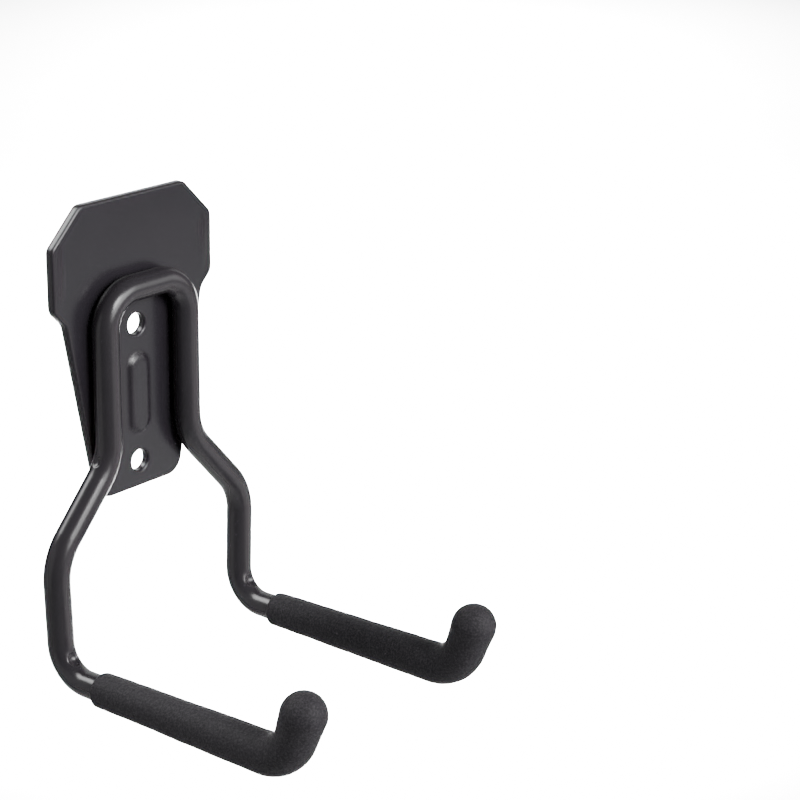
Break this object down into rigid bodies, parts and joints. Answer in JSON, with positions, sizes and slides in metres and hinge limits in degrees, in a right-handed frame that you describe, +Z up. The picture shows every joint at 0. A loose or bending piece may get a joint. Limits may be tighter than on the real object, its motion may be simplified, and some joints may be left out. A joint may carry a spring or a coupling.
{
  "type": "garage utility hook",
  "caption": "Wall-mounted storage hook: a screw-on steel back plate carries a bent round bar whose padded, upturned arms hold tools or hoses.",
  "frame": {"origin": "midway between the two screw holes, on the back face that lies against the wall", "axes": "+X to the right seen from the front, +Y into the wall, +Z up; the arms reach out along -Y"},
  "size_m": [0.0878, 0.1077, 0.1426],
  "materials": {
    "plate_coat": "satin black powder coat on stamped steel",
    "bar_coat": "semi-gloss black coat on round steel bar",
    "foam": "matt black closed-cell foam with a fine pebbled skin"
  },
  "bodies": {
    "root": {"back_plate": "plate_coat", "hook_frame": "bar_coat", "foam_sleeve_left": "foam", "foam_sleeve_right": "foam"}
  },
  "joints": []
}
